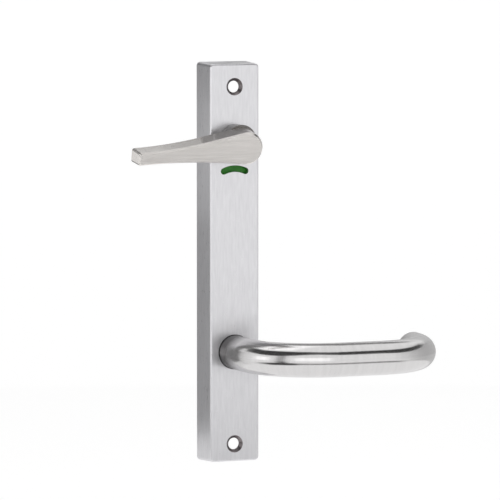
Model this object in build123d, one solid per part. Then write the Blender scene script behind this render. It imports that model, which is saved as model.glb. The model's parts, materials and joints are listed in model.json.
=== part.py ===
from build123d import *
import os
from math import acos, asin, cos, degrees, pi, radians, sin, tan

os.makedirs("parts", exist_ok=True)

# Privacy lever handle for one face of a door: a return lever and a privacy turn with an
# indicator, on a long narrow hollow casing.
# Millimetres. X runs to the right along the door, Y into the door and Z up. The origin is on
# the lever's axis, in the plane of the door's face, so the casing's front is at negative Y.

# Casing
CASE_LENGTH = 225.0
CASE_ABOVE_LEVER = 162.5
CASE_DEPTH = 18.0
CASE_FRONT_WIDTH = 29.0
CASE_BACK_WIDTH = 31.5
CASE_END_DRAFT = 0.7
FRONT_WALL = 2.5
SIDE_WALL = 2.2
EDGE_ROUND = 0.9
CORNER_ROUND = 2.2
CAVITY_CORNER_ROUND = 0.6

# Holes for the fixing screws, which aren't fitted
TOP_SCREW_INSET = 13.5
BOTTOM_SCREW_INSET = 10.5
SCREW_HOLE_DIA = 6.6
COUNTERSINK_DIA = 9.8
COUNTERSINK_DEPTH = 1.6

# Clearances
RUNNING_CLEARANCE = 0.05
SEAT_CLEARANCE = 0.02
AIR_GAP = 0.3
STOP_GAP = 0.12

# Lever tube
TUBE_DIA = 19.0
TUBE_WALL = 1.5
TUBE_BASE_STRAIGHT = 22.0
BEND_RADIUS = 37.0
LEVER_REACH = 99.9
TUBE_RETURN_STRAIGHT = 0.2
CAP_THICKNESS = 1.0
CAP_SPIGOT_LENGTH = 2.0
CAP_EDGE_ROUND = 0.5

# Lever neck and its bush
NECK_DIA = 15.0
NECK_ACROSS_FLATS = 13.0
NECK_PLUG_LENGTH = 14.0
NECK_INSET = 0.6
LEVER_SOCKET_SIZE = 8.1
LEVER_SOCKET_FLOOR = 2.4
BUSH_WALL = 1.5
BUSH_FLANGE_THICKNESS = 0.6
BUSH_FLANGE_RING = 0.3
LEVER_GRUB_DIA = 5.0
LEVER_GRUB_STANDOFF = 8.0
LEVER_GRUB_SINK = 0.6
GRUB_CHAMFER = 0.3

# Lever mechanism
LEVER_TRAVEL = 45.0
THRUST_WASHER_THICKNESS = 0.8
THRUST_WASHER_WIDTH = 2.5
CAM_THICKNESS = 3.0
CAM_DIA = 22.0
CAM_LUG_RADIUS = 14.5
CAM_LUG_HALF_ANGLE = 11.0
CAM_STOP_CIRCLE_RADIUS = 13.1
CAM_STOP_DIA = 3.4
LEVER_CIRCLIP_THICKNESS = 1.2
LEVER_CIRCLIP_WIDTH = 2.6
CIRCLIP_GROOVE_DEPTH = 0.45
CIRCLIP_EYE_SHARE = 0.75
CIRCLIP_EYE_ANGLE = 24.0
GROOVE_LAND = 1.0
SPRING_WIRE_DIA = 1.4
SPRING_TURNS = 2.5
SPRING_HOOK_RADIUS = 1.5
SPRING_NECK_GAP = 0.7
BACKING_THICKNESS = 1.5
BACKING_HEIGHT = 44.0
BACKING_SCREW_HALF_X = 9.0
BACKING_SCREW_HALF_Z = 18.0

# Pan-head screws of both inner plates
PLATE_SCREW_DIA = 3.0
BACKING_SCREW_LENGTH = 8.0
KEEPER_SCREW_LENGTH = 6.0
SCREW_HEAD_DIA = 5.5
SCREW_HEAD_HEIGHT = 1.5
SCREW_RECESS_DEPTH = 0.8
SCREW_RECESS_WIDTH = 0.9
SCREW_RECESS_LENGTH = 3.3
BOSS_DIA = 5.2

# Privacy turn
TURN_HEIGHT = 118.9
TURN_NECK_DIA = 18.6
TURN_NECK_LENGTH = 8.2
TURN_THICKNESS = 11.0
TURN_TILT = 11.0
TURN_BEVEL = 0.9
TURN_DRAFT = 0.4
TURN_HUB_RADIUS = 9.3
TURN_HUB_DROP = 1.5
TURN_TIP_REACH = 64.0
TURN_TIP_TOP = -1.3
TURN_TIP_BOTTOM = -8.5
TURN_TIP_ROUND = 1.3
TURN_TOP_TANGENT = 102.8
TURN_TOP_STRAIGHT = 20.0
TURN_BOTTOM_TANGENT = 263.8
TURN_SPINDLE_DIA = 8.0
TURN_SPINDLE_SINK = 12.0
TURN_STUB_SIZE = 5.0
TURN_BUSH_FLANGE_DIA = 16.0
TURN_BUSH_FLANGE_THICKNESS = 0.6
TURN_GRUB_DIA = 3.0
TURN_GRUB_LENGTH = 5.0
FRICTION_WASHER_THICKNESS = 0.5
FRICTION_WASHER_WIDTH = 2.0
TURN_CIRCLIP_THICKNESS = 0.8
TURN_CIRCLIP_WIDTH = 2.0

# Indicator
WINDOW_DROP = 15.75
WINDOW_WIDTH = 3.7
WINDOW_HALF_CHORD = 6.5
BAND_MARGIN = 0.4
BAND_THICKNESS = 0.5
BAND_INLAY = 0.3
SHUTTLE_THICKNESS = 1.2
SHUTTLE_HALF_WIDTH = 10.1
SHUTTLE_EDGE = 0.25
RUNNER_WIDTH = 1.4
RACK_THICKNESS = 2.3
RACK_ADDENDUM = 0.6
RACK_DEDENDUM = 1.0
RACK_TEETH_BELOW = 5
RACK_TEETH_ABOVE = 2
GEAR_MODULE = 1.0
PINION_TEETH = 12
PINION_ADDENDUM = 0.8
PINION_DEDENDUM = 0.9
PRESSURE_ANGLE = 20.0
GEAR_BACKLASH = 0.12
PINION_HUB_DIA = 9.5
ROLL_PIN_DIA = 1.4
TURN_LUG_RADIUS = 8.6
TURN_LUG_HALF_ANGLE = 10.0
TURN_LUG_THICKNESS = 1.2
TURN_STOP_CIRCLE_RADIUS = 7.4
TURN_STOP_DIA = 2.2
TURN_TRAVEL = 90.0
KEEPER_THICKNESS = 1.2
KEEPER_SCREW_HALF_X = 8.6

# Places worked out from the driving sizes
CASE_TOP = CASE_ABOVE_LEVER
CASE_BOTTOM = CASE_ABOVE_LEVER - CASE_LENGTH
FRONT = -CASE_DEPTH
INNER = FRONT + FRONT_WALL
TOP_SCREW_Z = CASE_TOP - TOP_SCREW_INSET
BOTTOM_SCREW_Z = CASE_BOTTOM + BOTTOM_SCREW_INSET

TUBE_RADIUS = TUBE_DIA / 2
TUBE_BORE_RADIUS = TUBE_RADIUS - TUBE_WALL
TUBE_START = FRONT - BUSH_FLANGE_THICKNESS - AIR_GAP
GRIP_Y = FRONT - TUBE_BASE_STRAIGHT - BEND_RADIUS
TUBE_END = GRIP_Y + BEND_RADIUS + TUBE_RETURN_STRAIGHT
CAP_REAR = TUBE_END + CAP_THICKNESS
LEVER_GRUB_Y = FRONT - LEVER_GRUB_STANDOFF

NECK_RADIUS = NECK_DIA / 2
NECK_PLUG_RADIUS = TUBE_BORE_RADIUS - SEAT_CLEARANCE
NECK_REAR = -NECK_INSET
LEVER_BUSH_BORE = NECK_RADIUS + RUNNING_CLEARANCE
LEVER_BUSH_RADIUS = LEVER_BUSH_BORE + BUSH_WALL
CAM_FRONT = INNER + THRUST_WASHER_THICKNESS
CAM_BACK = CAM_FRONT + CAM_THICKNESS
LEVER_CLIP_BACK = NECK_REAR - GROOVE_LAND
LEVER_CLIP_FRONT = LEVER_CLIP_BACK - LEVER_CIRCLIP_THICKNESS
BACKING_BACK = LEVER_CLIP_FRONT
BACKING_FRONT = BACKING_BACK - BACKING_THICKNESS

SCREW_BORE_RADIUS = PLATE_SCREW_DIA / 2 + SEAT_CLEARANCE

SPRING_WIRE_RADIUS = SPRING_WIRE_DIA / 2
SPRING_HALF_TURNS = round(2 * SPRING_TURNS)
SPRING_RADIUS = NECK_RADIUS + SPRING_NECK_GAP + SPRING_WIRE_RADIUS
SPRING_COIL_FRONT = CAM_BACK + AIR_GAP + SPRING_WIRE_RADIUS
SPRING_COIL_BACK = BACKING_BACK - SPRING_WIRE_DIA - SPRING_HOOK_RADIUS
SPRING_CLIMB = (SPRING_COIL_BACK - SPRING_COIL_FRONT) / SPRING_HALF_TURNS
SPRING_HOLE_RADIUS = SPRING_WIRE_RADIUS + AIR_GAP

TURN_BACK = FRONT - AIR_GAP - TURN_NECK_LENGTH
TURN_SLOPE = tan(radians(TURN_TILT))
TURN_NECK_FRONT = TURN_BACK - (TURN_NECK_DIA / 2 + TURN_HUB_DROP) * TURN_SLOPE
TURN_NECK_REAR = FRONT - AIR_GAP
TURN_SPINDLE_RADIUS = TURN_SPINDLE_DIA / 2
TURN_SPINDLE_FRONT = TURN_BACK + TURN_NECK_LENGTH - TURN_SPINDLE_SINK
TURN_HUB_Z = TURN_HEIGHT - TURN_HUB_DROP
TURN_BUSH_BORE = TURN_SPINDLE_RADIUS + RUNNING_CLEARANCE
TURN_BUSH_RADIUS = TURN_BUSH_BORE + BUSH_WALL
TURN_GRUB_Y = (TURN_BACK + TURN_SPINDLE_FRONT) / 2
TURN_CLIP_FRONT = INNER + FRICTION_WASHER_THICKNESS
TURN_CLIP_BACK = TURN_CLIP_FRONT + TURN_CIRCLIP_THICKNESS

PITCH_RADIUS = GEAR_MODULE * PINION_TEETH / 2
PINION_HUB_RADIUS = PINION_HUB_DIA / 2
SHUTTLE_TRAVEL = PITCH_RADIUS * radians(TURN_TRAVEL)
RACK_PITCH = pi * GEAR_MODULE
TOOTH_WIDTH = RACK_PITCH / 2 - GEAR_BACKLASH
SHUTTLE_FRONT = TURN_CLIP_BACK + AIR_GAP
SHUTTLE_BACK = SHUTTLE_FRONT + SHUTTLE_THICKNESS
RACK_BACK = SHUTTLE_BACK + RACK_THICKNESS
LUG_FRONT = RACK_BACK + AIR_GAP
LUG_BACK = LUG_FRONT + TURN_LUG_THICKNESS
KEEPER_FRONT = LUG_BACK + AIR_GAP
KEEPER_BACK = KEEPER_FRONT + KEEPER_THICKNESS
TURN_STUB_BACK = KEEPER_FRONT

WINDOW_HEIGHT = TURN_HEIGHT - WINDOW_DROP
WINDOW_SAGITTA = WINDOW_DROP - (WINDOW_DROP**2 - WINDOW_HALF_CHORD**2) ** 0.5
WINDOW_TOP = WINDOW_HEIGHT + WINDOW_WIDTH / 2
WINDOW_BOTTOM = WINDOW_HEIGHT - WINDOW_SAGITTA - WINDOW_WIDTH / 2
BAND_TOP = WINDOW_TOP + BAND_MARGIN
BAND_BOTTOM = WINDOW_BOTTOM - BAND_MARGIN
BAND_HALF_WIDTH = WINDOW_HALF_CHORD + WINDOW_WIDTH / 2 + BAND_MARGIN
SHUTTLE_TOP = BAND_TOP + SHUTTLE_EDGE
SHUTTLE_BOTTOM = BAND_BOTTOM - SHUTTLE_TRAVEL - SHUTTLE_EDGE
RACK_TOP = TURN_HEIGHT + RACK_TEETH_ABOVE * RACK_PITCH
GUIDE_BOTTOM = SHUTTLE_BOTTOM - 2 * AIR_GAP
GUIDE_TOP = RACK_TOP + SHUTTLE_TRAVEL + 2 * AIR_GAP
KEEPER_SCREW_TOP = GUIDE_TOP + BOSS_DIA / 2
KEEPER_SCREW_BOTTOM = GUIDE_BOTTOM - BOSS_DIA / 2
KEEPER_MARGIN = BOSS_DIA / 2 + AIR_GAP


def slab(sketch, front, back):
    """A sketch in X and Z, drawn as local x and y, made solid from front to back along Y."""
    return extrude(Plane.XZ.offset(-back) * sketch, amount=back - front)


def rod(radius, front, back, x=0.0, z=0.0):
    return Pos(x, (front + back) / 2, z) * Rot(-90, 0, 0) * Cylinder(radius, back - front)


def ring(outer_radius, inner_radius, front, back, z=0.0):
    return rod(outer_radius, front, back, z=z) - rod(inner_radius, front, back, z=z)


def square_bar(size, front, back, z=0.0):
    return slab(Pos(0, z) * Rectangle(size, size), front, back)


def sector(inner_radius, outer_radius, middle_angle, half_angle):
    """A flat piece of a ring about the origin, between two radii."""
    low, high = radians(middle_angle - half_angle), radians(middle_angle + half_angle)
    middle = radians(middle_angle)

    def at(radius, angle):
        return (radius * cos(angle), radius * sin(angle))

    edges = [
        ThreePointArc(at(outer_radius, low), at(outer_radius, middle), at(outer_radius, high)),
        Line(at(outer_radius, high), at(inner_radius, high)),
        ThreePointArc(at(inner_radius, high), at(inner_radius, middle), at(inner_radius, low)),
        Line(at(inner_radius, low), at(outer_radius, low)),
    ]
    return make_face(edges)


def circlip(groove_radius, width, front, back, z=0.0):
    """An open retaining ring with an eye at each end for the pliers."""
    eye_radius = width * CIRCLIP_EYE_SHARE
    eye_circle = groove_radius + width - eye_radius
    body = Circle(groove_radius + width) - Circle(groove_radius + SEAT_CLEARANCE)
    body -= sector(groove_radius / 2, groove_radius + 2 * width, 90, CIRCLIP_EYE_ANGLE)
    for side in (-1, 1):
        place = Rot(0, 0, side * CIRCLIP_EYE_ANGLE) * Pos(0, eye_circle)
        body += place * Circle(eye_radius)
        body -= place * Circle(eye_radius / 2)
    body -= Circle(groove_radius + SEAT_CLEARANCE)
    return slab(Pos(0, z) * body, front, back)


def save(piece, name):
    export_step(piece, f"parts/{name}.step")


def case_half_width(y):
    """Half of the casing's outer width at a depth, as its sides are drafted."""
    share = (y - FRONT) / CASE_DEPTH
    return (CASE_FRONT_WIDTH + (CASE_BACK_WIDTH - CASE_FRONT_WIDTH) * share) / 2


def cavity_half_width(y):
    return case_half_width(y) - SIDE_WALL


def drafted_section(y, wall):
    """The casing's drafted outline at a depth, drawn in from it by a wall."""
    inset = wall - CASE_END_DRAFT * y / CASE_DEPTH
    outline = Rectangle(2 * (case_half_width(y) - wall), CASE_LENGTH - 2 * inset)
    return Plane.XZ.offset(-y) * Pos(0, (CASE_TOP + CASE_BOTTOM) / 2) * outline


def drafted_block(front, back, wall, corner_radius):
    """A block whose sides and ends follow the casing's draft, with its four corners rounded."""
    block = loft([drafted_section(front, wall), drafted_section(back, wall)], ruled=True)
    middle = (front + back) / 2
    corners = [e for e in block.edges() if abs(e.center().Y - middle) < (back - front) / 4]
    return fillet(corners, corner_radius)


def plate_screw_places(half_x, bottom, top):
    return [(side * half_x, z) for side in (-1, 1) for z in (bottom, top)]


BACKING_SCREWS = plate_screw_places(
    BACKING_SCREW_HALF_X, -BACKING_SCREW_HALF_Z, BACKING_SCREW_HALF_Z
)
KEEPER_SCREWS = plate_screw_places(KEEPER_SCREW_HALF_X, KEEPER_SCREW_BOTTOM, KEEPER_SCREW_TOP)


def window():
    end_z = WINDOW_HEIGHT - WINDOW_SAGITTA
    centreline = ThreePointArc(
        (-WINDOW_HALF_CHORD, end_z), (0, WINDOW_HEIGHT), (WINDOW_HALF_CHORD, end_z)
    )
    return slab(SlotArc(centreline, WINDOW_WIDTH), FRONT - AIR_GAP, INNER + AIR_GAP)


def countersunk_hole(z):
    hole = rod(SCREW_HOLE_DIA / 2, FRONT, INNER, z=z)
    sink = (
        Pos(0, FRONT + COUNTERSINK_DEPTH / 2, z)
        * Rot(-90, 0, 0)
        * Cone(COUNTERSINK_DIA / 2, SCREW_HOLE_DIA / 2, COUNTERSINK_DEPTH)
    )
    return hole + sink


def cam_stop_angle():
    """How far the middle of a stop post lies from the middle of the lug that rests on it."""
    post_angle = asin((CAM_STOP_DIA / 2 + STOP_GAP) / CAM_STOP_CIRCLE_RADIUS)
    return CAM_LUG_HALF_ANGLE + degrees(post_angle)


def casing_bosses():
    """What stays standing inside the casing: screw bosses, stop posts and shuttle guides."""
    bosses = [rod(BOSS_DIA / 2, INNER, BACKING_FRONT, x, z) for x, z in BACKING_SCREWS]
    bosses += [rod(BOSS_DIA / 2, INNER, KEEPER_FRONT, x, z) for x, z in KEEPER_SCREWS]
    for angle in (-90 + cam_stop_angle(), -90 - LEVER_TRAVEL - cam_stop_angle()):
        x = CAM_STOP_CIRCLE_RADIUS * cos(radians(angle))
        z = CAM_STOP_CIRCLE_RADIUS * sin(radians(angle))
        bosses.append(rod(CAM_STOP_DIA / 2, INNER, CAM_BACK, x, z))
    guide_inner = SHUTTLE_HALF_WIDTH + AIR_GAP
    guide_width = CASE_BACK_WIDTH / 2 - guide_inner
    for side in (-1, 1):
        guide = Rectangle(guide_width, GUIDE_TOP - GUIDE_BOTTOM)
        middle = (side * (guide_inner + guide_width / 2), (GUIDE_TOP + GUIDE_BOTTOM) / 2)
        bosses.append(slab(Pos(*middle) * guide, INNER, RACK_BACK))
    return bosses


def plate_casing():
    outer = drafted_block(FRONT, 0, 0, CORNER_ROUND)
    front_edges = outer.edges().filter_by_position(Axis.Y, FRONT - AIR_GAP, FRONT + AIR_GAP)
    outer = fillet(front_edges, min(EDGE_ROUND, FRONT_WALL / 2))
    cavity = drafted_block(INNER, AIR_GAP, SIDE_WALL, CAVITY_CORNER_ROUND)
    for boss in casing_bosses():
        cavity -= boss
    casing = outer - cavity
    casing -= countersunk_hole(TOP_SCREW_Z)
    casing -= countersunk_hole(BOTTOM_SCREW_Z)
    casing -= window()
    casing -= rod(LEVER_BUSH_RADIUS + SEAT_CLEARANCE, FRONT, INNER)
    casing -= rod(TURN_BUSH_RADIUS + SEAT_CLEARANCE, FRONT, INNER, z=TURN_HEIGHT)
    for x, z in BACKING_SCREWS:
        casing -= rod(SCREW_BORE_RADIUS, BACKING_BACK - BACKING_SCREW_LENGTH, BACKING_FRONT, x, z)
    for x, z in KEEPER_SCREWS:
        casing -= rod(SCREW_BORE_RADIUS, KEEPER_BACK - KEEPER_SCREW_LENGTH, KEEPER_FRONT, x, z)
    return casing


def plate_screws(places, plate_back, length):
    """Pan-head screws with a cross recess, driven from behind."""
    screws = []
    for x, z in places:
        head_back = plate_back + SCREW_HEAD_HEIGHT
        shank = rod(PLATE_SCREW_DIA / 2, plate_back - length, plate_back, x, z)
        head = rod(SCREW_HEAD_DIA / 2, plate_back, head_back, x, z)
        head = fillet(head.edges().sort_by(Axis.Y)[-1], SCREW_HEAD_HEIGHT / 2)
        cross = Rectangle(SCREW_RECESS_LENGTH, SCREW_RECESS_WIDTH)
        cross += Rectangle(SCREW_RECESS_WIDTH, SCREW_RECESS_LENGTH)
        recess = slab(Pos(x, z) * cross, head_back - SCREW_RECESS_DEPTH, head_back)
        screws.append(shank + head - recess)
    return Compound(children=screws)


def plate_screw_holes(places, plate_front, plate_back):
    return [rod(SCREW_BORE_RADIUS, plate_front, plate_back, x, z) for x, z in places]


def lever_bush():
    flange_radius = max(TUBE_RADIUS + BUSH_FLANGE_RING, LEVER_BUSH_RADIUS + BUSH_FLANGE_RING)
    flange = rod(flange_radius, FRONT - BUSH_FLANGE_THICKNESS, FRONT)
    sleeve = rod(LEVER_BUSH_RADIUS, FRONT, INNER)
    return flange + sleeve - rod(LEVER_BUSH_BORE, FRONT - BUSH_FLANGE_THICKNESS, INNER)


def lever_tube():
    centreline = FilletPolyline(
        (0, TUBE_START),
        (0, GRIP_Y),
        (LEVER_REACH, GRIP_Y),
        (LEVER_REACH, TUBE_END),
        radius=BEND_RADIUS,
    )
    section_plane = Plane(origin=(0, TUBE_START, 0), x_dir=(1, 0, 0), z_dir=(0, -1, 0))
    section = section_plane * (Circle(TUBE_RADIUS) - Circle(TUBE_BORE_RADIUS))
    tube = sweep(section, path=centreline)
    return tube - grub_hole(0, LEVER_GRUB_Y, LEVER_GRUB_DIA, -TUBE_RADIUS, 0)


def grub_hole(x, y, diameter, low, high):
    hole = Cylinder(diameter / 2 + SEAT_CLEARANCE, high - low)
    return Pos(x, y, (low + high) / 2) * hole


def grub_screw(y, diameter, low, high):
    """A set screw along Z with a hexagon socket in its lower end."""
    body = Pos(0, y, (low + high) / 2) * Cylinder(diameter / 2, high - low)
    body = chamfer(body.edges().sort_by(Axis.Z)[-1], GRUB_CHAMFER)
    socket = RegularPolygon(diameter / 4, 6, major_radius=False)
    return body - extrude(Plane.XY.offset(low) * Pos(0, y) * socket, amount=diameter / 2)


def lever_end_cap():
    cap = rod(TUBE_RADIUS, TUBE_END, CAP_REAR, x=LEVER_REACH)
    cap = fillet(cap.edges().sort_by(Axis.Y)[-1], min(CAP_EDGE_ROUND, CAP_THICKNESS / 2))
    spigot_radius = TUBE_BORE_RADIUS - AIR_GAP
    return cap + rod(spigot_radius, TUBE_END - CAP_SPIGOT_LENGTH, TUBE_END, x=LEVER_REACH)


def flatted_circle(radius, across_flats):
    return Circle(radius) & Rectangle(across_flats, 2 * radius)


def lever_neck():
    plug = rod(NECK_PLUG_RADIUS, TUBE_START - NECK_PLUG_LENGTH, TUBE_START)
    journal = rod(NECK_RADIUS, TUBE_START, CAM_FRONT)
    shank = slab(flatted_circle(NECK_RADIUS, NECK_ACROSS_FLATS), CAM_FRONT, NECK_REAR)
    neck = plug + journal + shank
    groove_radius = NECK_RADIUS - CIRCLIP_GROOVE_DEPTH
    neck -= ring(NECK_RADIUS + AIR_GAP, groove_radius, LEVER_CLIP_FRONT, LEVER_CLIP_BACK)
    socket_front = TUBE_START - NECK_PLUG_LENGTH + LEVER_SOCKET_FLOOR
    neck -= square_bar(LEVER_SOCKET_SIZE, socket_front, NECK_REAR)
    return neck - grub_hole(0, LEVER_GRUB_Y, LEVER_GRUB_DIA, -TUBE_RADIUS, 0)


def lever_grub_screw():
    top = -LEVER_SOCKET_SIZE / 2 - AIR_GAP
    return grub_screw(LEVER_GRUB_Y, LEVER_GRUB_DIA, -TUBE_RADIUS + LEVER_GRUB_SINK, top)


def lever_washer():
    inner_radius = NECK_RADIUS + RUNNING_CLEARANCE
    return ring(inner_radius + THRUST_WASHER_WIDTH, inner_radius, INNER, CAM_FRONT)


def lever_cam():
    outline = Circle(CAM_DIA / 2) + sector(
        CAM_DIA / 4, CAM_LUG_RADIUS, -90, CAM_LUG_HALF_ANGLE
    )
    bore_radius = NECK_RADIUS + SEAT_CLEARANCE
    outline -= flatted_circle(bore_radius, NECK_ACROSS_FLATS + 2 * SEAT_CLEARANCE)
    outline -= Pos(*front_spring_hook()[-1]) * Circle(SPRING_HOLE_RADIUS)
    return slab(outline, CAM_FRONT, CAM_BACK)


def lever_circlip():
    groove_radius = NECK_RADIUS - CIRCLIP_GROOVE_DEPTH
    return circlip(groove_radius, LEVER_CIRCLIP_WIDTH, LEVER_CLIP_FRONT, LEVER_CLIP_BACK)


def lever_backing_plate():
    half_width = cavity_half_width(BACKING_FRONT) - AIR_GAP
    outline = fillet(Rectangle(2 * half_width, BACKING_HEIGHT).vertices(), BOSS_DIA / 2)
    outline -= Circle(NECK_RADIUS + RUNNING_CLEARANCE)
    outline -= Pos(*back_spring_hook()[-1]) * Circle(SPRING_HOLE_RADIUS)
    plate = slab(outline, BACKING_FRONT, BACKING_BACK)
    for hole in plate_screw_holes(BACKING_SCREWS, BACKING_FRONT, BACKING_BACK):
        plate -= hole
    return plate


def spring_point(half_turns):
    angle = pi * half_turns
    depth = SPRING_COIL_FRONT + SPRING_CLIMB * half_turns
    return Vector(SPRING_RADIUS * cos(angle), depth, SPRING_RADIUS * sin(angle))


def spring_hook(coil_end, heading, tang_end):
    """Points of the bend and the straight tang into a plate, and the tang's place in X and Z."""
    into = Vector(0, 1 if tang_end > coil_end.Y else -1, 0)
    bend_end = coil_end + heading * SPRING_HOOK_RADIUS + into * SPRING_HOOK_RADIUS
    bend_middle = (
        coil_end
        + heading * (SPRING_HOOK_RADIUS * sin(pi / 4))
        + into * (SPRING_HOOK_RADIUS * (1 - cos(pi / 4)))
    )
    tip = Vector(bend_end.X, tang_end, bend_end.Z)
    return coil_end, bend_middle, bend_end, tip, (tip.X, tip.Z)


def front_spring_hook():
    return spring_hook(spring_point(0), Vector(0, 0, -1), CAM_FRONT + AIR_GAP)


def back_spring_hook():
    heading = Vector(0, 0, 1 if SPRING_HALF_TURNS % 2 == 0 else -1)
    return spring_hook(spring_point(SPRING_HALF_TURNS), heading, BACKING_BACK)


def spring_route():
    """Half turns, each tilted to climb steadily, with a hooked tang at each end."""
    first, front_middle, front_bend, front_tip, _ = front_spring_hook()
    last, back_middle, back_bend, back_tip, _ = back_spring_hook()
    turns = [
        ThreePointArc(spring_point(n), spring_point(n + 0.5), spring_point(n + 1))
        for n in range(SPRING_HALF_TURNS)
    ]
    return [
        Line(front_tip, front_bend),
        ThreePointArc(front_bend, front_middle, first),
        *turns,
        ThreePointArc(last, back_middle, back_bend),
        Line(back_bend, back_tip),
    ]


def lever_return_spring():
    route = Wire(spring_route())
    start = route @ 0
    section = Plane(origin=start, x_dir=(1, 0, 0), z_dir=(0, 1, 0)) * Circle(SPRING_WIRE_RADIUS)
    return sweep(section, path=route)


def print_spring_gap():
    """Measure how near the wire comes to itself, on points over a quarter turn apart."""
    steps = 24
    points, travelled = [], []
    passed = 0.0
    for curve in spring_route():
        for step in range(steps):
            points.append(curve @ (step / steps))
            travelled.append(passed + curve.length * step / steps)
        passed += curve.length
    quarter_turn = pi * SPRING_RADIUS / 2
    nearest = min(
        (a - b).length
        for i, a in enumerate(points)
        for j, b in enumerate(points)
        if travelled[j] - travelled[i] > quarter_turn
    )
    print("lever_return_spring least gap to itself", round(nearest - SPRING_WIRE_DIA, 3))


def turn_back():
    """The back of the turn's head, which leans by the turn's tilt."""
    origin = (0, TURN_BACK, TURN_HUB_Z)
    return Plane(origin=origin, x_dir=(1, 0, 0), z_dir=(0, -1, -TURN_SLOPE))


def turn_outline(grow, depth):
    """The turn's pear shape at one depth from its back, grown all round from the bevel's."""
    hub = TURN_HUB_RADIUS + grow
    top, bottom = radians(TURN_TOP_TANGENT), radians(TURN_BOTTOM_TANGENT)
    hub_top = (hub * cos(top), hub * sin(top))
    hub_bottom = (hub * cos(bottom), hub * sin(bottom))
    along = (-sin(top), cos(top))
    straight_end = (
        hub_top[0] + TURN_TOP_STRAIGHT * along[0],
        hub_top[1] + TURN_TOP_STRAIGHT * along[1],
    )
    tip_x = -TURN_TIP_REACH - grow
    tip_top = (tip_x, TURN_TIP_TOP + grow)
    tip_bottom = (tip_x, TURN_TIP_BOTTOM - grow)
    edges = [
        Line(hub_top, straight_end),
        TangentArc(straight_end, tip_top, tangent=along),
        Line(tip_top, tip_bottom),
        TangentArc(hub_bottom, tip_bottom, tangent=(sin(bottom), -cos(bottom))),
        ThreePointArc(hub_bottom, (hub, 0), hub_top),
    ]
    face = make_face(edges)
    tip_corners = face.vertices().sort_by(Axis.X)[:2]
    face = fillet(tip_corners, TURN_TIP_ROUND + grow / 2)
    return turn_back().offset(depth) * face


def turn_lever():
    """The turn's head, which looks slightly down, on a neck square to the casing."""
    rim = TURN_THICKNESS - TURN_BEVEL
    drafted = loft([turn_outline(TURN_DRAFT, 0), turn_outline(0, rim)], ruled=True)
    bevel = loft([turn_outline(0, rim), turn_outline(-TURN_BEVEL, TURN_THICKNESS)], ruled=True)
    neck = rod(TURN_NECK_DIA / 2, TURN_NECK_FRONT, TURN_NECK_REAR, z=TURN_HEIGHT)
    turn = drafted + bevel + split(neck, turn_back(), keep=Keep.BOTTOM)
    bore_radius = TURN_SPINDLE_RADIUS + SEAT_CLEARANCE
    turn -= rod(bore_radius, TURN_SPINDLE_FRONT, TURN_NECK_REAR, z=TURN_HEIGHT)
    recess_front = FRONT - TURN_BUSH_FLANGE_THICKNESS - AIR_GAP
    recess_radius = TURN_BUSH_FLANGE_DIA / 2 + AIR_GAP
    turn -= rod(recess_radius, recess_front, TURN_NECK_REAR, z=TURN_HEIGHT)
    return turn - grub_hole(0, TURN_GRUB_Y, TURN_GRUB_DIA, turn_underside(), TURN_HEIGHT)


def turn_underside():
    """Below the turn's hub as far out as its spindle, where the set screw's hole opens."""
    radius = (TURN_HUB_RADIUS + TURN_DRAFT) / cos(radians(TURN_TILT))
    return TURN_HUB_Z - radius - (TURN_BACK - TURN_SPINDLE_FRONT) * TURN_SLOPE


def turn_grub_screw():
    top = TURN_HEIGHT - TURN_SPINDLE_RADIUS
    return grub_screw(TURN_GRUB_Y, TURN_GRUB_DIA, top - TURN_GRUB_LENGTH, top)


def turn_bush():
    flange_front = FRONT - TURN_BUSH_FLANGE_THICKNESS
    flange = rod(TURN_BUSH_FLANGE_DIA / 2, flange_front, FRONT, z=TURN_HEIGHT)
    sleeve = rod(TURN_BUSH_RADIUS, FRONT, INNER, z=TURN_HEIGHT)
    return flange + sleeve - rod(TURN_BUSH_BORE, flange_front, INNER, z=TURN_HEIGHT)


def roll_pin_y():
    return (LUG_FRONT + LUG_BACK) / 2


def roll_pin(radius, length):
    return Pos(0, roll_pin_y(), TURN_HEIGHT) * Cylinder(radius, length)


def turn_spindle():
    journal_back = SHUTTLE_FRONT - AIR_GAP / 2
    spindle = rod(TURN_SPINDLE_RADIUS, TURN_SPINDLE_FRONT, journal_back, z=TURN_HEIGHT)
    groove_radius = TURN_SPINDLE_RADIUS - CIRCLIP_GROOVE_DEPTH
    groove = (TURN_SPINDLE_RADIUS + AIR_GAP, groove_radius, TURN_CLIP_FRONT, TURN_CLIP_BACK)
    spindle -= ring(*groove, z=TURN_HEIGHT)
    spindle += square_bar(TURN_STUB_SIZE, journal_back, TURN_STUB_BACK, TURN_HEIGHT)
    return spindle - roll_pin(ROLL_PIN_DIA / 2 + SEAT_CLEARANCE, PINION_HUB_DIA)


def turn_friction_washer():
    inner_radius = TURN_SPINDLE_RADIUS + RUNNING_CLEARANCE
    outer_radius = inner_radius + FRICTION_WASHER_WIDTH
    return ring(outer_radius, inner_radius, INNER, TURN_CLIP_FRONT, z=TURN_HEIGHT)


def turn_circlip():
    groove_radius = TURN_SPINDLE_RADIUS - CIRCLIP_GROOVE_DEPTH
    return circlip(
        groove_radius, TURN_CIRCLIP_WIDTH, TURN_CLIP_FRONT, TURN_CLIP_BACK, z=TURN_HEIGHT
    )


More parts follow.
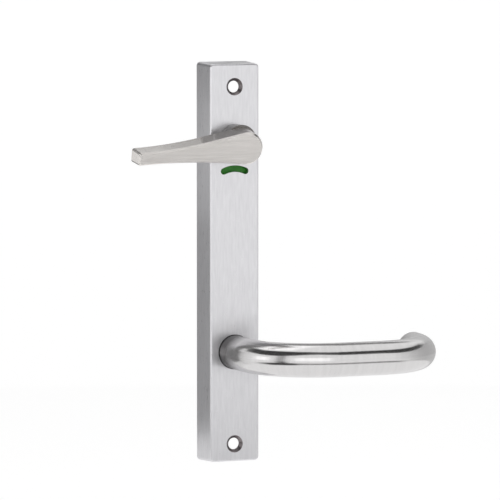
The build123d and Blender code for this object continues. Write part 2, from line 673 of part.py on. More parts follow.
def pinion_tooth():
    """One involute tooth along +x, each flank an arc through three points of the involute."""
    base_radius = PITCH_RADIUS * cos(radians(PRESSURE_ANGLE))
    tip_radius = PITCH_RADIUS + PINION_ADDENDUM
    foot_radius = PITCH_RADIUS - PINION_DEDENDUM - AIR_GAP

    def involute(radius):
        angle = acos(base_radius / radius)
        return tan(angle) - angle

    def flank(radius, side, polar_radius=None):
        half = TOOTH_WIDTH / (2 * PITCH_RADIUS) + involute(PITCH_RADIUS) - involute(radius)
        along = polar_radius or radius
        return (along * cos(half), side * along * sin(half))

    middle_radius = (base_radius + tip_radius) / 2
    edges = []
    for side in (-1, 1):
        foot = flank(base_radius, side, foot_radius)
        root, middle, tip = (flank(r, side) for r in (base_radius, middle_radius, tip_radius))
        edges += [Line(foot, root), ThreePointArc(root, middle, tip)]
    edges.append(Line(flank(tip_radius, -1), flank(tip_radius, 1)))
    edges.append(Line(flank(base_radius, -1, foot_radius), flank(base_radius, 1, foot_radius)))
    return make_face(edges)


def turn_pinion():
    gear = Circle(PITCH_RADIUS - PINION_DEDENDUM)
    for tooth in range(PINION_TEETH):
        gear += Rot(0, 0, 180 + 360 * tooth / PINION_TEETH) * pinion_tooth()
    lug = sector(PINION_HUB_RADIUS / 2, TURN_LUG_RADIUS, 0, TURN_LUG_HALF_ANGLE)
    pinion = slab(Pos(0, TURN_HEIGHT) * gear, SHUTTLE_BACK + AIR_GAP, RACK_BACK)
    pinion += slab(Pos(0, TURN_HEIGHT) * lug, LUG_FRONT, LUG_BACK)
    pinion += rod(PINION_HUB_RADIUS, SHUTTLE_BACK + AIR_GAP, NECK_REAR, z=TURN_HEIGHT)
    socket = TURN_STUB_SIZE + 2 * RUNNING_CLEARANCE
    pinion -= square_bar(socket, SHUTTLE_BACK, NECK_REAR, TURN_HEIGHT)
    return pinion - roll_pin(ROLL_PIN_DIA / 2 + SEAT_CLEARANCE, PINION_HUB_DIA)


def turn_roll_pin():
    return roll_pin(ROLL_PIN_DIA / 2, PINION_HUB_DIA - 2 * STOP_GAP)


def rack_face():
    """The shuttle's arm in X and Z, with the rack's teeth along its right side."""
    slope = tan(radians(PRESSURE_ANGLE))
    tip_x = -PITCH_RADIUS + RACK_ADDENDUM
    root_x = -PITCH_RADIUS - RACK_DEDENDUM
    tip_half = TOOTH_WIDTH / 2 - RACK_ADDENDUM * slope
    root_half = TOOTH_WIDTH / 2 + RACK_DEDENDUM * slope
    points = [(-SHUTTLE_HALF_WIDTH, SHUTTLE_BOTTOM), (root_x, SHUTTLE_BOTTOM)]
    for tooth in range(-RACK_TEETH_BELOW, RACK_TEETH_ABOVE):
        middle = TURN_HEIGHT + (tooth + 0.5) * RACK_PITCH
        points += [
            (root_x, middle - root_half),
            (tip_x, middle - tip_half),
            (tip_x, middle + tip_half),
            (root_x, middle + root_half),
        ]
    points += [(root_x, RACK_TOP), (-SHUTTLE_HALF_WIDTH, RACK_TOP)]
    return make_face(Polyline(*points, close=True))


def band_face(bottom, clearance=0.0):
    width = 2 * (BAND_HALF_WIDTH + clearance)
    height = BAND_TOP - BAND_BOTTOM
    return Pos(0, bottom + height / 2) * Rectangle(width, height + 2 * clearance)


def indicator_shuttle():
    plate_height = SHUTTLE_TOP - SHUTTLE_BOTTOM
    plate_middle = (SHUTTLE_TOP + SHUTTLE_BOTTOM) / 2
    plate = Pos(0, plate_middle) * Rectangle(2 * SHUTTLE_HALF_WIDTH, plate_height)
    shuttle = slab(plate, SHUTTLE_FRONT, SHUTTLE_BACK)
    shuttle += slab(rack_face(), SHUTTLE_BACK, RACK_BACK)
    runner_x = SHUTTLE_HALF_WIDTH - RUNNER_WIDTH / 2
    for side in (-1, 1):
        runner = Pos(side * runner_x, plate_middle) * Rectangle(RUNNER_WIDTH, plate_height)
        shuttle += slab(runner, SHUTTLE_BACK, KEEPER_FRONT - AIR_GAP)
    for bottom in (BAND_BOTTOM, BAND_BOTTOM - SHUTTLE_TRAVEL):
        pocket = band_face(bottom, SEAT_CLEARANCE)
        shuttle -= slab(pocket, SHUTTLE_FRONT, SHUTTLE_FRONT + BAND_INLAY)
    return shuttle


def indicator_band(bottom):
    back = SHUTTLE_FRONT + BAND_INLAY
    return slab(band_face(bottom), back - BAND_THICKNESS, back)


def indicator_keeper_plate():
    half_width = cavity_half_width(KEEPER_FRONT) - AIR_GAP
    top = KEEPER_SCREW_TOP + KEEPER_MARGIN
    bottom = KEEPER_SCREW_BOTTOM - KEEPER_MARGIN
    outline = Pos(0, (top + bottom) / 2) * Rectangle(2 * half_width, top - bottom)
    outline = fillet(outline.vertices(), BOSS_DIA / 2)
    outline -= Pos(0, TURN_HEIGHT) * Circle(PINION_HUB_RADIUS + 2 * RUNNING_CLEARANCE)
    plate = slab(outline, KEEPER_FRONT, KEEPER_BACK)
    for hole in plate_screw_holes(KEEPER_SCREWS, KEEPER_FRONT, KEEPER_BACK):
        plate -= hole
    post_angle = asin((TURN_STOP_DIA / 2 + STOP_GAP) / TURN_STOP_CIRCLE_RADIUS)
    stop_angle = TURN_LUG_HALF_ANGLE + degrees(post_angle)
    for angle in (stop_angle, -TURN_TRAVEL - stop_angle):
        x = TURN_STOP_CIRCLE_RADIUS * cos(radians(angle))
        z = TURN_HEIGHT + TURN_STOP_CIRCLE_RADIUS * sin(radians(angle))
        plate += rod(TURN_STOP_DIA / 2, LUG_FRONT, KEEPER_FRONT, x, z)
    return plate


save(plate_casing(), "plate_casing")
save(lever_bush(), "lever_bush")
save(turn_bush(), "turn_bush")
save(lever_backing_plate(), "lever_backing_plate")
save(plate_screws(BACKING_SCREWS, BACKING_BACK, BACKING_SCREW_LENGTH), "backing_plate_screws")
save(lever_return_spring(), "lever_return_spring")
save(indicator_keeper_plate(), "indicator_keeper_plate")
save(plate_screws(KEEPER_SCREWS, KEEPER_BACK, KEEPER_SCREW_LENGTH), "keeper_plate_screws")

save(lever_tube(), "lever_tube")
save(lever_end_cap(), "lever_end_cap")
save(lever_neck(), "lever_neck")
save(lever_grub_screw(), "lever_grub_screw")
save(lever_washer(), "lever_washer")
save(lever_cam(), "lever_cam")
save(lever_circlip(), "lever_circlip")

save(turn_lever(), "turn_lever")
save(turn_spindle(), "turn_spindle")
save(turn_grub_screw(), "turn_grub_screw")
save(turn_friction_washer(), "turn_friction_washer")
save(turn_circlip(), "turn_circlip")
save(turn_pinion(), "turn_pinion")
save(turn_roll_pin(), "turn_roll_pin")

save(indicator_shuttle(), "indicator_shuttle")
save(indicator_band(BAND_BOTTOM), "indicator_green")
save(indicator_band(BAND_BOTTOM - SHUTTLE_TRAVEL), "indicator_red")

print_spring_gap()
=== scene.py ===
import json
from math import cos, degrees, radians, sin, tan

import bpy
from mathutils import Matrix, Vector


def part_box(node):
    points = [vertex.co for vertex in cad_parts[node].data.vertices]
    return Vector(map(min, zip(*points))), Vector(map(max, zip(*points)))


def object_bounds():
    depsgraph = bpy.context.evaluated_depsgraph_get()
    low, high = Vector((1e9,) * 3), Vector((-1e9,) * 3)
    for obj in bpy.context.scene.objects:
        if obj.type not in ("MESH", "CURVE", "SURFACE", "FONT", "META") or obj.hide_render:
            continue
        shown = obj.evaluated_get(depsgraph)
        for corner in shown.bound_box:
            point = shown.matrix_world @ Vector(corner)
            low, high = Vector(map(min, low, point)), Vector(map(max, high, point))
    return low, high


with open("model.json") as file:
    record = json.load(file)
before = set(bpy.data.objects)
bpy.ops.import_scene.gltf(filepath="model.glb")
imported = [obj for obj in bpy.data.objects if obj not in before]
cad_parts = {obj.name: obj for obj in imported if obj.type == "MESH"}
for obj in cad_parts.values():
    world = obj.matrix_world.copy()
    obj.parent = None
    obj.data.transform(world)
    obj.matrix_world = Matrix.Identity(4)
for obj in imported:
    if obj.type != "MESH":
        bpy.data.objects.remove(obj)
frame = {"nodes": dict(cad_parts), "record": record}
cad_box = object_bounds()

# The lever's tube runs out along Y, then along X, then back, with its two bends alike
tube_low, tube_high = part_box("lever_tube")
TUBE_RADIUS = (tube_high[2] - tube_low[2]) / 2
TUBE_RIGHT = tube_high[0] - TUBE_RADIUS
TUBE_GRIP_Y = tube_low[1] + TUBE_RADIUS
TUBE_BEND = 0.037

# The tube's foot grows duller and rougher over a length, and carries painted shade, darkest above
# and below its middle
FOOT_LENGTH = 0.014
FOOT_PAINTED_SHADE_HEIGHT = 0.004
FOOT_ROUGHER = 0.12

# The turn's neck, which carries painted shade, is square to the casing, and its head's back leans
TURN_AXIS_Z = 0.1189
TURN_NECK = 0.0082
TURN_NECK_RADIUS = 0.00935
TURN_BACK_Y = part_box("turn_lever")[1][1] - TURN_NECK
TURN_HUB_Z = 0.1174
TURN_SLOPE = tan(radians(11))
NECK_MARGIN = 0.0002

# The screw holes' countersinks in the casing's front, which carry painted shade
COUNTERSINK_RADIUS = 0.0049
COUNTERSINK_MARGIN = 0.00004
COUNTERSINK_START_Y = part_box("plate_casing")[0][1] + COUNTERSINK_MARGIN

# How deep the grain of a surface looks, how much detail its two patterns have, the middle range
# of a noise, and how many grains wide a plastic's patches of colour are
GRAIN_DEPTH = 0.00004
FINE_DETAIL = 3.0
BROAD_DETAIL = 2.0
NOISE_ROUGHNESS = 0.55
NOISE_LOW = 0.3
NOISE_HIGH = 0.7
PATCH_WIDTH = 9

# The numbers of a mix node's two colour inputs and its colour output
MIX_FIRST = 6
MIX_SECOND = 7
MIX_RESULT = 2

# The photograph's viewpoint
VIEW_FROM_LEFT = radians(22.03)
VIEW_FROM_ABOVE = radians(4.84)
VIEW_DISTANCE = 2.5
VIEW_AIM = Vector((0.01654, 0, 0.0555))
VIEW_END = 100
LENS = 318.2
SENSOR = 36.0

# The floor and the light from all round
FLOOR_DROP = 0.20
FLOOR_HALF = 20.0
FLOOR_GREY = 0.8
FLOOR_ROUGHNESS = 0.9
FLOOR_GLOW = 0.45
WORLD_FILL = 0.65

# The curved cards that reflections see, with a corner every few degrees
WALL_CENTRE = Vector((0.05, -0.06, 0))
WALL_STEP = 3
FAR_WALL = 2.2
NEAR_WALL = 0.56
NEXT_WALL = 0.01

# The softboxes' distances, and the watts that give a square metre of one a radiance of 1
OVERHEAD_DISTANCE = 1.3
SIDE_DISTANCE = 1.6
SOFTBOX_WATTS = 4


class Tree:
    """A material's node tree, with one short method for each kind of node used here."""

    def __init__(self, name):
        self.material = bpy.data.materials.new(name)
        self.material.use_nodes = True
        self.nodes = self.material.node_tree.nodes
        self.links = self.material.node_tree.links
        self.shader = self.nodes["Principled BSDF"]
        self.place = self.nodes.new("ShaderNodeTexCoord").outputs["Object"]

    def put(self, node, socket, value):
        """Link an output to a socket, or set the socket where the value is a plain one."""
        if isinstance(value, bpy.types.NodeSocket):
            self.links.new(value, node.inputs[socket])
        else:
            node.inputs[socket].default_value = value

    def math(self, operation, first, second=0.0):
        node = self.nodes.new("ShaderNodeMath")
        node.operation = operation
        self.put(node, 0, first)
        self.put(node, 1, second)
        return node.outputs[0]

    def share(self, length, whole):
        """How much of the whole a length is, 1 at the most."""
        return self.math("MINIMUM", self.math("DIVIDE", length, whole), 1.0)

    def reach(self, across, up):
        """The length of a line so far across and so far up."""
        across_square = self.math("MULTIPLY", across, across)
        up_square = self.math("MULTIPLY", up, up)
        return self.math("SQRT", self.math("ADD", across_square, up_square))

    def parted(self):
        """The place on the object as its X, Y and Z."""
        node = self.nodes.new("ShaderNodeSeparateXYZ")
        self.put(node, 0, self.place)
        return node.outputs

    def joined(self, x, y, z):
        """A place or a direction from its X, Y and Z."""
        node = self.nodes.new("ShaderNodeCombineXYZ")
        self.put(node, "X", x)
        self.put(node, "Y", y)
        self.put(node, "Z", z)
        return node.outputs[0]

    def noise(self, place, scale, detail):
        """A noise at a place that is first scaled apart along X, Y and Z."""
        scaled = self.nodes.new("ShaderNodeVectorMath")
        scaled.operation = "MULTIPLY"
        self.put(scaled, 0, place)
        self.put(scaled, 1, scale)
        node = self.nodes.new("ShaderNodeTexNoise")
        self.put(node, "Vector", scaled.outputs[0])
        self.put(node, "Scale", 1.0)
        self.put(node, "Detail", detail)
        self.put(node, "Roughness", NOISE_ROUGHNESS)
        return node.outputs["Fac"]

    def spread(self, value, low, high):
        """Map a noise's middle range to a range of its own."""
        node = self.nodes.new("ShaderNodeMapRange")
        self.put(node, "Value", value)
        self.put(node, "From Min", NOISE_LOW)
        self.put(node, "From Max", NOISE_HIGH)
        self.put(node, "To Min", low)
        self.put(node, "To Max", high)
        return node.outputs["Result"]

    def blend(self, share, first, second):
        """A colour that is the first where the share is 0 and the second where it is 1."""
        node = self.nodes.new("ShaderNodeMix")
        node.data_type = "RGBA"
        self.put(node, "Factor", share)
        self.put(node, MIX_FIRST, first)
        self.put(node, MIX_SECOND, second)
        return node.outputs[MIX_RESULT]

    def colours(self, value, dark, light):
        """Colours that run from dark to light with a noise."""
        return self.blend(self.spread(value, 0.0, 1.0), (*dark, 1), (*light, 1))

    def paint(self, share, colour):
        """Paint a colour over the surface where the share is 1; here it is painted shade."""
        before = self.shader.inputs["Base Color"].links[0].from_socket
        self.put(self.shader, "Base Color", self.blend(share, before, (*colour, 1)))

    def brush(self, axis, strength):
        """Draw the surface's shine out as brushing does that runs along an axis."""
        tangent = self.nodes.new("ShaderNodeTangent")
        tangent.direction_type = "RADIAL"
        tangent.axis = axis
        self.put(self.shader, "Anisotropic", strength)
        self.put(self.shader, "Tangent", tangent.outputs[0])

    def bump(self, height, strength):
        node = self.nodes.new("ShaderNodeBump")
        self.put(node, "Strength", strength)
        self.put(node, "Distance", GRAIN_DEPTH)
        self.put(node, "Height", height)
        self.put(self.shader, "Normal", node.outputs["Normal"])

    def glow(self, brightness):
        """Make the surface give off a plain grey light and no more."""
        node = self.nodes.new("ShaderNodeEmission")
        self.put(node, "Color", (brightness, brightness, brightness, 1))
        self.cover(node.outputs[0])
        return node.outputs[0]

    def cover(self, shader):
        self.put(self.nodes["Material Output"], "Surface", shader)


def metal(name, dark, light, smooth, rough, streaks, broad, bump):
    """A metal whose colour follows its broad pattern and whose roughness its fine streaks."""
    tree = Tree(name)
    fine = tree.noise(tree.place, streaks, FINE_DETAIL)
    wide = tree.noise(tree.place, broad, BROAD_DETAIL)
    tree.put(tree.shader, "Metallic", 1.0)
    tree.put(tree.shader, "Base Color", tree.colours(wide, dark, light))
    tree.put(tree.shader, "Roughness", tree.spread(fine, smooth, rough))
    tree.bump(fine, bump)
    return tree


def painted_shade_in_countersinks(tree):
    """1 inside the two countersinks, where shade is painted; they lie alike above and below the
    middle of the pair.
    """
    pair = next(m for m in frame["record"]["mounts"] if m["name"] == "fixing_holes")
    middle = pair["pos_m"][2]
    half_spacing = pair["dims"]["spacing_y_mm"] / 1000 / 2
    x, y, z = tree.parted()
    from_middle = tree.math("ABSOLUTE", tree.math("SUBTRACT", z, middle))
    up = tree.math("SUBTRACT", from_middle, half_spacing)
    near = tree.math("LESS_THAN", tree.reach(x, up), COUNTERSINK_RADIUS)
    sunk = tree.math("GREATER_THAN", y, COUNTERSINK_START_Y)
    return tree.math("MULTIPLY", near, sunk)


def casing_steel():
    """Satin stainless steel, brushed from top to bottom, with painted shade in its countersinks."""
    tree = metal(
        "casing_steel",
        dark=(0.69, 0.685, 0.705),
        light=(0.75, 0.745, 0.765),
        smooth=0.27,
        rough=0.39,
        streaks=(3000, 3000, 220),
        broad=(900, 900, 110),
        bump=0.12,
    )
    tree.brush(axis="Z", strength=0.55)
    # Painted shade: the countersinks are coloured dark to stand for their dark reflections
    tree.paint(painted_shade_in_countersinks(tree), colour=(0.26, 0.235, 0.24))
    return tree.material


def tube_run(tree, x, y):
    """How far along the tube a place is, how far up a straight leg, and how the tube runs there."""
    nearest_x = tree.math("MINIMUM", tree.math("MAXIMUM", x, TUBE_BEND), TUBE_RIGHT - TUBE_BEND)
    out_x = tree.math("SUBTRACT", x, nearest_x)
    from_bend = tree.math("SUBTRACT", y, TUBE_GRIP_Y + TUBE_BEND)
    out_y = tree.math("MULTIPLY", tree.math("MINIMUM", from_bend, 0.0), -1.0)
    leg = tree.math("MAXIMUM", from_bend, 0.0)
    bent = tree.math("MULTIPLY", tree.math("ARCTAN2", out_x, out_y), TUBE_BEND)
    along = tree.math("ADD", tree.math("ADD", nearest_x, bent), leg)
    return along, leg, tree.joined(out_y, out_x, 0.0)


def tube_steel():
    """Satin stainless steel, polished round the tube, and duller on its foot, with painted shade
    there that is darkest above and below its middle.
    """
    tree = Tree("tube_steel")
    x, y, z = tree.parted()
    along, leg, tangent = tube_run(tree, x, y)
    unrolled = tree.joined(along, y, z)
    fine = tree.noise(unrolled, (2600, 120, 120), FINE_DETAIL)
    wide = tree.noise(unrolled, (420, 30, 30), BROAD_DETAIL)

    bright = tree.colours(wide, dark=(0.65, 0.64, 0.64), light=(0.69, 0.68, 0.68))
    # Painted shade: the foot's dark colours stand for its dark reflections, darker still above and
    # below its middle
    painted_shade_level = tree.colours(fine, dark=(0.19, 0.18, 0.18), light=(0.27, 0.26, 0.26))
    painted_shade_off_level = tree.colours(fine, dark=(0.062, 0.059, 0.059), light=(0.095, 0.091, 0.091))
    height = tree.share(tree.math("ABSOLUTE", z), FOOT_PAINTED_SHADE_HEIGHT)
    foot = tree.blend(height, painted_shade_level, painted_shade_off_level)
    dull_and_painted_shade = tree.share(leg, FOOT_LENGTH)

    satin = tree.spread(fine, low=0.15, high=0.19)
    tree.put(tree.shader, "Metallic", 1.0)
    tree.put(tree.shader, "Base Color", tree.blend(dull_and_painted_shade, bright, foot))
    rougher = tree.math("MULTIPLY", dull_and_painted_shade, FOOT_ROUGHER)
    tree.put(tree.shader, "Roughness", tree.math("ADD", satin, rougher))
    tree.put(tree.shader, "Anisotropic", 0.7)
    tree.put(tree.shader, "Tangent", tangent)
    tree.bump(fine, strength=0.04)
    return tree.material


def painted_shade_on_turn_neck(tree):
    """1 on the turn's neck, behind the leaning back of its head, where shade is painted."""
    x, y, z = tree.parted()
    lean = tree.math("MULTIPLY", tree.math("SUBTRACT", z, TURN_HUB_Z), TURN_SLOPE)
    behind = tree.math("GREATER_THAN", tree.math("ADD", y, lean), TURN_BACK_Y - NECK_MARGIN)
    from_axis = tree.reach(x, tree.math("SUBTRACT", z, TURN_AXIS_Z))
    near = tree.math("LESS_THAN", from_axis, TURN_NECK_RADIUS)
    return tree.math("MULTIPLY", behind, near)


def turn_metal():
    """Satin nickel on the cast turn, brushed along its length, with painted shade on its neck."""
    tree = metal(
        "turn_metal",
        dark=(0.73, 0.70, 0.675),
        light=(0.80, 0.77, 0.745),
        smooth=0.18,
        rough=0.26,
        streaks=(110, 3000, 3000),
        broad=(60, 700, 700),
        bump=0.12,
    )
    tree.brush(axis="X", strength=0.45)
    # Painted shade: the neck is coloured dark to stand for the shade between the head and the casing
    tree.paint(painted_shade_on_turn_neck(tree), colour=(0.19, 0.18, 0.175))
    return tree.material


def plated_steel():
    """Zinc-plated steel with a faint rolled grain."""
    return metal(
        "plated_steel",
        dark=(0.50, 0.52, 0.55),
        light=(0.60, 0.61, 0.62),
        smooth=0.28,
        rough=0.46,
        streaks=(500, 500, 1800),
        broad=(160, 160, 260),
        bump=0.15,
    ).material


def sintered_steel():
    """Pressed and sintered steel: dark and finely pitted."""
    return metal(
        "sintered_steel",
        dark=(0.16, 0.16, 0.165),
        light=(0.26, 0.26, 0.265),
        smooth=0.42,
        rough=0.62,
        streaks=(4200, 4200, 4200),
        broad=(500, 500, 500),
        bump=0.4,
    ).material


def spring_steel():
    """Drawn wire with fine lines round the coil."""
    return metal(
        "spring_steel",
        dark=(0.30, 0.30, 0.31),
        light=(0.46, 0.46, 0.47),
        smooth=0.20,
        rough=0.36,
        streaks=(700, 4500, 700),
        broad=(200, 900, 200),
        bump=0.15,
    ).material


def black_oxide():
    """Blackened steel with a faint oily sheen."""
    return metal(
        "black_oxide",
        dark=(0.035, 0.035, 0.04),
        light=(0.075, 0.075, 0.08),
        smooth=0.26,
        rough=0.42,
        streaks=(2500, 2500, 2500),
        broad=(400, 400, 400),
        bump=0.2,
    ).material


def brass():
    """Machined brass with turning marks across its axis."""
    return metal(
        "brass",
        dark=(0.60, 0.43, 0.19),
        light=(0.76, 0.57, 0.28),
        smooth=0.22,
        rough=0.38,
        streaks=(700, 5000, 700),
        broad=(300, 1200, 300),
        bump=0.15,
    ).material


def plastic(name, dark, light, smooth, rough, grain, bump):
    """A moulded or coated surface with a fine grain, its colour in wider patches."""
    patch = grain / PATCH_WIDTH
    tree = Tree(name)
    fine = tree.noise(tree.place, (grain, grain, grain), FINE_DETAIL)
    wide = tree.noise(tree.place, (patch, patch, patch), BROAD_DETAIL)
    tree.put(tree.shader, "Base Color", tree.colours(wide, dark, light))
    tree.put(tree.shader, "Roughness", tree.spread(fine, smooth, rough))
    tree.bump(fine, bump)
    return tree.material


def black_nylon():
    """The black nylon of the two bushes."""
    return plastic(
        "black_nylon",
        dark=(0.014, 0.014, 0.015),
        light=(0.03, 0.03, 0.032),
        smooth=0.38,
        rough=0.55,
        grain=3200,
        bump=0.3,
    )


def grey_acetal():
    """The grey acetal of the indicator's shuttle."""
    return plastic(
        "grey_acetal",
        dark=(0.20, 0.20, 0.21),
        light=(0.26, 0.26, 0.27),
        smooth=0.32,
        rough=0.46,
        grain=2400,
        bump=0.2,
    )


def green_band():
    """The green that shows in the window at rest."""
    return plastic(
        "green_band",
        dark=(0.02, 0.25, 0.01),
        light=(0.035, 0.33, 0.015),
        smooth=0.36,
        rough=0.48,
        grain=2600,
        bump=0.15,
    )


def red_band():
    """The red that shows in the window when the door is locked."""
    return plastic(
        "red_band",
        dark=(0.40, 0.015, 0.012),
        light=(0.50, 0.025, 0.02),
        smooth=0.30,
        rough=0.42,
        grain=2600,
        bump=0.15,
    )


def dress_nodes():
    """Give each CAD node the material of its slot in the record."""
    makers = (
        casing_steel, tube_steel, turn_metal, plated_steel, sintered_steel, spring_steel,
        black_oxide, brass, black_nylon, grey_acetal, green_band, red_band,
    )
    materials = {maker.__name__: maker() for maker in makers}
    for subpart in frame["record"]["subparts"]:
        mesh = frame["nodes"][subpart["node"]].data
        mesh.materials.clear()
        mesh.materials.append(materials[subpart["material_slot"]])


def background_share(nodes, links):
    """1 for rays that should see the white background, 0 for those that light the object."""
    path = nodes.new("ShaderNodeLightPath")
    share = path.outputs["Is Camera Ray"]
    for name in ("Is Glossy Ray", "Is Transmission Ray"):
        larger = nodes.new("ShaderNodeMath")
        larger.operation = "MAXIMUM"
        links.new(share, larger.inputs[0])
        links.new(path.outputs[name], larger.inputs[1])
        share = larger.outputs[0]
    return share


def white_world():
    """White all round, and dimmer where it only lights the part."""
    world = bpy.data.worlds.new("studio")
    bpy.context.scene.world = world
    world.use_nodes = True
    nodes, links = world.node_tree.nodes, world.node_tree.links
    fill = nodes["Background"]
    seen = nodes.new("ShaderNodeBackground")
    for background, strength in ((fill, WORLD_FILL), (seen, 1.0)):
        background.inputs["Strength"].default_value = strength
        background.inputs["Color"].default_value = (1, 1, 1, 1)
    mix = nodes.new("ShaderNodeMixShader")
    links.new(background_share(nodes, links), mix.inputs[0])
    links.new(fill.outputs[0], mix.inputs[1])
    links.new(seen.outputs[0], mix.inputs[2])
    links.new(mix.outputs[0], nodes["World Output"].inputs["Surface"])


def sheet(name, corners, faces, material):
    """A flat or curved sheet that belongs to the studio and not to the part."""
    mesh = bpy.data.meshes.new(name)
    mesh.from_pydata(corners, [], faces)
    mesh.materials.append(material)
    made = bpy.data.objects.new(name, mesh)
    bpy.context.scene.collection.objects.link(made)
    return made


def floor():
    """A pale floor below the part, nearly white to the camera, that still takes a shadow."""
    material = bpy.data.materials.new("floor")
    material.use_nodes = True
    nodes, links = material.node_tree.nodes, material.node_tree.links
    shader = nodes["Principled BSDF"]
    shader.inputs["Base Color"].default_value = (FLOOR_GREY, FLOOR_GREY, FLOOR_GREY, 1)
    shader.inputs["Roughness"].default_value = FLOOR_ROUGHNESS
    shader.inputs["Emission Color"].default_value = (1, 1, 1, 1)
    glow = nodes.new("ShaderNodeMath")
    glow.operation = "MULTIPLY"
    glow.inputs[1].default_value = FLOOR_GLOW
    links.new(background_share(nodes, links), glow.inputs[0])
    links.new(glow.outputs[0], shader.inputs["Emission Strength"])
    height = cad_box[0][2] - FLOOR_DROP
    sides = ((-1, -1), (1, -1), (1, 1), (-1, 1))
    corners = [(FLOOR_HALF * x, FLOOR_HALF * y, height) for x, y in sides]
    sheet("floor", corners, [(0, 1, 2, 3)], material)


def only_reflected(card):
    """Hide a card from everything but reflections."""
    card.visible_camera = False
    card.visible_diffuse = False
    card.visible_transmission = False
    card.visible_volume_scatter = False
    card.visible_shadow = False


def toward(azimuth, elevation):
    """A direction from the part: azimuth in degrees from straight in front, to the right."""
    turn, rise = radians(azimuth), radians(elevation)
    return Vector((sin(turn) * cos(rise), -cos(turn) * cos(rise), sin(rise)))


def degrees_off(tree, middle):
    """How many degrees round the walls' centre a place is from the middle azimuth."""
    x, y, _ = tree.parted()
    right = tree.math("SUBTRACT", x, WALL_CENTRE.x)
    front = tree.math("SUBTRACT", WALL_CENTRE.y, y)
    side, ahead = sin(radians(middle)), cos(radians(middle))
    along = tree.math("ADD", tree.math("MULTIPLY", front, ahead), tree.math("MULTIPLY", right, side))
    right_part = tree.math("MULTIPLY", right, ahead)
    across = tree.math("SUBTRACT", right_part, tree.math("MULTIPLY", front, side))
    angle = tree.math("ABSOLUTE", tree.math("ARCTAN2", across, along))
    return tree.math("MULTIPLY", angle, degrees(1))


def wall_glow(name, middle, half, soft, brightness):
    """A glow that fades to clear towards both ends of its wall, over the soft angle."""
    tree = Tree(name)
    glow = tree.glow(brightness)
    ramp = tree.nodes.new("ShaderNodeMapRange")
    ramp.interpolation_type = "SMOOTHSTEP"
    tree.put(ramp, "Value", degrees_off(tree, middle))
    tree.put(ramp, "From Min", half)
    tree.put(ramp, "From Max", half - soft)
    clear = tree.nodes.new("ShaderNodeBsdfTransparent")
    mix = tree.nodes.new("ShaderNodeMixShader")
    tree.put(mix, 0, ramp.outputs["Result"])
    tree.put(mix, 1, clear.outputs[0])
    tree.put(mix, 2, glow)
    tree.cover(mix.outputs[0])
    return tree.material


def wall(name, distance, azimuths, bottom, top, brightness, soft):
    """A card curved round the lever; its upper and lower edges are elevations."""
    first, last = azimuths
    steps = round((last - first) / WALL_STEP)
    stops = [first + (last - first) * step / steps for step in range(steps + 1)]
    corners = [WALL_CENTRE + distance * toward(stop, bottom(stop)) for stop in stops]
    corners += [WALL_CENTRE + distance * toward(stop, top(stop)) for stop in stops]
    faces = [(i, i + 1, steps + 2 + i, steps + 1 + i) for i in range(steps)]
    material = wall_glow(name, (first + last) / 2, (last - first) / 2, soft, brightness)
    only_reflected(sheet(name, corners, faces, material))


def level(elevation):
    """An edge at the same elevation all along."""
    return lambda azimuth: elevation


def overhead_gap_bottom(azimuth):
    """An edge that is level but for a steep hump at the front, a little to the left."""
    lowest, rise, hump = 25, 19, -13
    return lowest + rise * max(0, cos(radians(azimuth - hump))) ** 3


def overhead_gap_top(azimuth):
    """An edge that is highest at the front left and lowest opposite."""
    middle, rise, highest = 47, 15, -32
    return middle + rise * cos(radians(azimuth - highest))


def far_walls():
    """Greys of the studio's walls and the dark gaps between its lights."""
    edges = (overhead_gap_bottom, overhead_gap_top)
    wall("overhead_gap", FAR_WALL, (-152, 128), *edges, brightness=0.06, soft=22)
    wall("back_gap", FAR_WALL, (126, 180), level(36), level(56), brightness=0.28, soft=9)
    wall("left_gap", FAR_WALL, (-74, -57), level(-9), level(30), brightness=0.25, soft=6)
    wall("right_wall", FAR_WALL, (26, 194), level(-12), level(24), brightness=0.56, soft=70)
    wall("back_wall", FAR_WALL, (-230, -106), level(-12), level(30), brightness=0.42, soft=60)


def near_walls():
    """Greys seen below the part, near enough to stay above the floor."""
    inner = NEAR_WALL - NEXT_WALL
    outer = NEAR_WALL + NEXT_WALL
    outmost = outer + NEXT_WALL
    wall("right_low", outer, (40, 194), level(-19), level(-6), brightness=0.64, soft=50)
    wall("back_low", outmost, (-230, -106), level(-26), level(-6), brightness=0.45, soft=60)
    wall("left_low_gap", outmost, (-76, -54), level(-14), level(-5), brightness=0.12, soft=6)
    wall("low_gap", NEAR_WALL, (-112, 64), level(-23), level(-15), brightness=0.32, soft=24)
    wall("low_left_gap", inner, (-94, -38), level(-26), level(-14), brightness=0.03, soft=12)


def flag(name, across, up, y, brightness):
    """An upright flat card close to the part, from left to right and from bottom to top."""
    left, right = across
    bottom, top = up
    corners = [(left, y, bottom), (right, y, bottom), (right, y, top), (left, y, top)]
    tree = Tree(name)
    tree.glow(brightness)
    only_reflected(sheet(name, corners, [(0, 1, 2, 3)], tree.material))


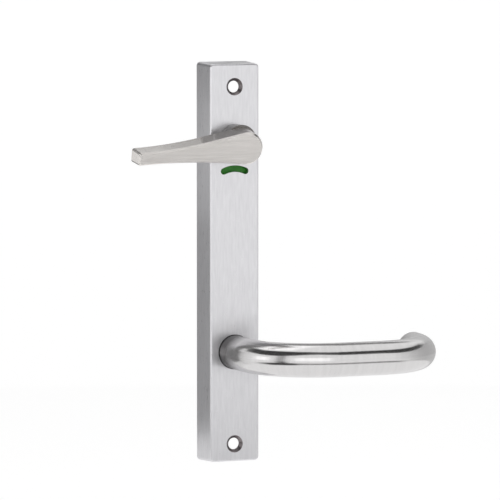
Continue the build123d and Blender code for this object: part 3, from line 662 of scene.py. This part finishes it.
def flags():
    """Small greys and lights, each for one place on the part."""
    flag("flag_low", (-0.145, -0.02), (-0.066, 0.30), y=0.12, brightness=0.20)
    flag("flag_foot", (-0.145, -0.02), (-0.12, -0.066), y=0.12, brightness=0.85)
    flag("flag_high", (-0.02, 0.18), (0.165, 0.203), y=0.15, brightness=0.28)
    flag("flag_bend", (0.013, 0.085), (-0.004, 0.020), y=-0.030, brightness=0.85)
    flag("flag_tip", (-0.165, -0.112), (0.065, 0.135), y=0.118, brightness=0.95)
    flag("flag_front", (-0.08, 0.14), (0.245, 0.335), y=-0.29, brightness=0.16)


def softbox(name, place, width, height, radiance):
    """A rectangular lamp that faces the point the camera looks at."""
    lamp = bpy.data.lights.new(name, "AREA")
    lamp.shape = "RECTANGLE"
    lamp.size = width
    lamp.size_y = height
    lamp.energy = radiance * SOFTBOX_WATTS * width * height
    made = bpy.data.objects.new(name, lamp)
    made.location = place
    made.rotation_euler = (VIEW_AIM - place).to_track_quat("-Z", "Y").to_euler()
    bpy.context.scene.collection.objects.link(made)


def lights():
    """Three softboxes: high up behind the part, in front of it, and at its left."""
    overhead = VIEW_AIM + OVERHEAD_DISTANCE * toward(-140, 66)
    front = WALL_CENTRE + SIDE_DISTANCE * toward(-21, 10)
    left = WALL_CENTRE + SIDE_DISTANCE * toward(-94, 6)
    softbox("overhead", overhead, width=1.1, height=0.9, radiance=0.35)
    softbox("front", front, width=1.5, height=0.62, radiance=0.33)
    softbox("left", left, width=0.6, height=0.50, radiance=0.40)


def camera():
    """A camera at the photograph's viewpoint."""
    made = bpy.data.cameras.new("camera")
    made.lens = LENS
    made.sensor_width = SENSOR
    made.clip_end = VIEW_END
    holder = bpy.data.objects.new("camera", made)
    away = Vector((
        -sin(VIEW_FROM_LEFT) * cos(VIEW_FROM_ABOVE),
        -cos(VIEW_FROM_LEFT) * cos(VIEW_FROM_ABOVE),
        sin(VIEW_FROM_ABOVE),
    ))
    holder.location = VIEW_AIM + VIEW_DISTANCE * away
    holder.rotation_euler = (-away).to_track_quat("-Z", "Y").to_euler()
    bpy.context.scene.collection.objects.link(holder)
    bpy.context.scene.camera = holder


dress_nodes()
white_world()
floor()
far_walls()
near_walls()
flags()
lights()
camera()
bpy.context.scene.view_settings.view_transform = "Standard"
